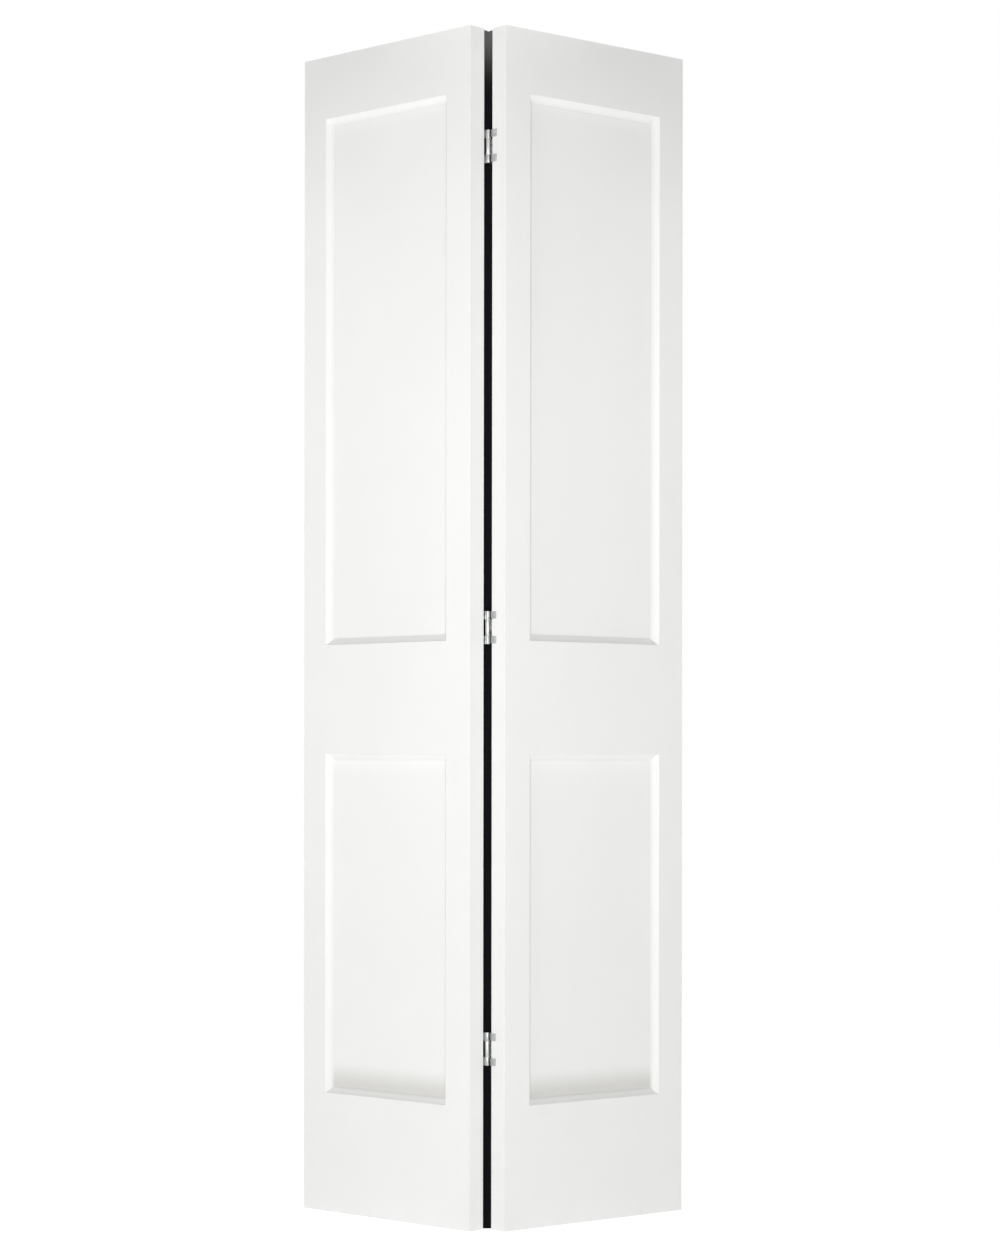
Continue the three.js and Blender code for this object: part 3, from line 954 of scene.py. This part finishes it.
screwSeat = plateFace + hinge["sheet"] + screw["seatGap"]
crossTurn = screw["firstTurn"]
for hingeName, height in hinges.items():
    leftPlate = stampedPlate(outerTongues, hinge["outerInside"], [])
    rightPlate = stampedPlate(middleTongues, hinge["middleInside"], tabs)
    for side, plate in (("left", leftPlate), ("right", rightPlate)):
        atHinge = leafPlace(side) @ Matrix.Translation((0, 0, height))
        finishHingePiece(plate, f"{hingeName}_{side}_stamped_plate", atHinge, stampedFinish,
                         side + "_leaf", f"{hingeName}_{side}_plate")
        for end, shift in screwShifts.items():
            atSeat = atHinge @ Matrix.Translation((screwX, screwSeat, shift)) @ toFront.inverted()
            finishHingePiece(panScrew(crossTurn), f"{hingeName}_{side}_{end}_pan_screw", atSeat,
                             turnedFinish, side + "_leaf", f"{hingeName}_{side}_{end}_screw")
            crossTurn += screw["nextTurn"]
    onAxis = Matrix.Translation((0, axisY, height))
    finishHingePiece(hingePin(), hingeName + "_turned_pin", onAxis, turnedFinish,
                     "left_leaf", hingeName + "_pin")
    for end, flip in (("upper", 1), ("lower", -1)):
        finishHingePiece(flangedBushing(), f"{hingeName}_{end}_nylon_bushing",
                         onAxis @ Matrix.Scale(flip, 4, (0, 0, 1)), nylonFinish,
                         "right_leaf", f"{hingeName}_{end}_bushing")
print("hinges made")


# True on what the camera sees, directly or in metal or glass
def seenDirectly(web):
    path = web.node("ShaderNodeLightPath").socket.node.outputs
    camera, glossy, through = (Wire(web, path[name]) for name in
                               ("Is Camera Ray", "Is Glossy Ray", "Is Transmission Ray"))
    return camera.most(glossy).most(through)


def stagePiece(name, bm, material):
    piece = newObject(bm, name, material)
    return piece


# Floor: white, lit from under, and it keeps the door's shadow
floor = {
    "size": 14,
    "drop": 0.2 * mm,
    "colour": (0.8, 0.8, 0.8),
    "dustAndShade": (0.74, 0.74, 0.735),
    "haze": (1.3, 2),
    "hazeAmount": 0.1,
    "lift": 0.385,
    "seen": (0.35, 0.35, 0.35),
    "glow": 0.92,
}


def floorMaterial():
    material, web = newMaterial("studioFloor")
    haze = web.noise(web.point(), *floor["haze"])

    def lit(colour, strength):
        matt = web.node("ShaderNodeBsdfDiffuse", None, {"Color": paint(colour)})
        glow = web.node("ShaderNodeEmission", None, {"Strength": strength})
        return web.node("ShaderNodeAddShader", None, [matt, glow])

    hazy = web.mixed(haze * floor["hazeAmount"], floor["colour"], floor["dustAndShade"])
    mix = [seenDirectly(web), lit(hazy, floor["lift"]), lit(floor["seen"], floor["glow"])]
    web.node("ShaderNodeOutputMaterial", None, [web.node("ShaderNodeMixShader", None, mix)])
    return material


# Card of black felt that fills the gap at the hinge line as painted shadow, seen only from its front, with
# painted light making it greyer toward its top
card = {
    "behindAxis": 6 * mm,
    "width": 15.2 * mm,
    "top": 2007.4 * mm,
    "notch": 2.8 * mm,
    "black": (0.008, 0.008, 0.009),
    "grey": (0.12, 0.12, 0.12),
    "greySpan": (1880 * mm, 2007 * mm),
    "nap": (400, 2),
    "napDepth": 0.2 * mm,
}


def gapShadowMaterial():
    material, web = newMaterial("paintedGapShadow")
    x, y, z = web.axes(web.point())
    # Painted light: the card turns grey toward its top
    paintedTopLight = web.ramp(z, *card["greySpan"])
    felt = web.node("ShaderNodeBsdfDiffuse", None, {
        "Color": web.mixed(paintedTopLight * paintedTopLight, card["black"], card["grey"]),
        "Normal": web.bump(web.noise(web.point(), *card["nap"]), card["napDepth"])})
    behind = web.node("ShaderNodeNewGeometry", output="Backfacing")
    clear = web.node("ShaderNodeBsdfTransparent")
    web.node("ShaderNodeOutputMaterial", None, [
        web.node("ShaderNodeMixShader", None, [behind, felt, clear])])
    return material


# Flags keep light off the door's top corners. They aren't seen themselves.
flags = {
    "inner": 0.26,
    "outer": 1.0,
    "front": -0.7,
    "back": 0.02,
    "height": 2.055,
    "dark": (0.01, 0.01, 0.01),
    "light": (0.03, 0.03, 0.03),
    "weave": (300, 2),
}


def flagMaterial():
    material, web = newMaterial("flagCloth")
    weave = web.noise(web.point(), *flags["weave"])
    cloth = web.node("ShaderNodeBsdfDiffuse", None, {
        "Color": web.mixed(weave, flags["dark"], flags["light"])})
    web.node("ShaderNodeOutputMaterial", None, [cloth])
    return material


bm = bmesh.new()
addRectangle(bm, Matrix.Translation((0, 0, -floor["drop"])), floor["size"], floor["size"])
stagePiece("floor", bm, floorMaterial())

bm = bmesh.new()
cardPlace = Matrix.Translation((0, axisY + card["behindAxis"], card["top"] / 2)) @ toFront
addRectangle(bm, cardPlace, card["width"], card["top"], columns=2)
notched = max(bm.verts, key=lambda vert: vert.co.z - abs(vert.co.x))
notched.co.z -= card["notch"]
stagePiece("paintedGapShadow", bm, gapShadowMaterial())

flagCloth = flagMaterial()
flagX = (flags["inner"] + flags["outer"]) / 2
flagY = (flags["front"] + flags["back"]) / 2
for side, sign in (("left", -1), ("right", 1)):
    bm = bmesh.new()
    addRectangle(bm, Matrix.Translation((sign * flagX, flagY, flags["height"])),
                 flags["outer"] - flags["inner"], flags["back"] - flags["front"])
    flag = stagePiece(side + "Flag", bm, flagCloth)
    flag.visible_camera = False
    flag.visible_glossy = False

# World: white where it is seen, elsewhere a soft light that fades toward the ceiling
sky = {
    "sides": 1.22,
    "fadeSpan": (0.0, 0.8),
}
world = bpy.data.worlds.new("studio")
bpy.context.scene.world = world
world.use_nodes = True
web = Web(world.node_tree)
x, y, z = web.axes(web.node("ShaderNodeTexCoord", output="Generated"))
strength = sky["sides"] * (1 - web.ramp(z, *sky["fadeSpan"]))
light = web.node("ShaderNodeBackground", None, {"Color": (1, 1, 1, 1), "Strength": strength})
white = web.node("ShaderNodeBackground", None, {"Color": (1, 1, 1, 1), "Strength": 1.0})
web.node("ShaderNodeOutputWorld", None, [
    web.node("ShaderNodeMixShader", None, [seenDirectly(web), light, white])])

# Soft boxes: place, what they point at, width and height, and power in watts
softBoxes = {
    "keyLeft": {"place": (-1.6, -2.4, 1.22), "aim": (0, 0, 1.22), "size": (1, 2.4), "watts": 10.8},
    "keyFront": {"place": (0.1, -2.6, 1.0), "aim": (0, 0, 1.0), "size": (1, 1), "watts": 21.3},
    "backLeft": {"place": (-1.8, 2.4, 1.1), "aim": (0, 0, 1.0), "size": (1.6, 1.6), "watts": 13},
    "overhead": {"place": (0, 0.2, 2.75), "aim": (0, 0.1, 2.0), "size": (0.7, 0.3), "watts": 4},
    "backRight": {"place": (1.8, 2.4, 1.1), "aim": (0, 0, 1.0), "size": (1.6, 1.6), "watts": 13},
}
for name, box in softBoxes.items():
    lamp = bpy.data.lights.new(name, "AREA")
    lamp.shape = "RECTANGLE"
    lamp.size, lamp.size_y = box["size"]
    lamp.energy = box["watts"]
    holder = bpy.data.objects.new(name, lamp)
    holder.location = box["place"]
    aim = Vector(box["aim"]) - Vector(box["place"])
    holder.rotation_euler = aim.to_track_quat("-Z", "Y").to_euler()
    holder.visible_camera = False
    bpy.context.collection.objects.link(holder)
print("studio lit")
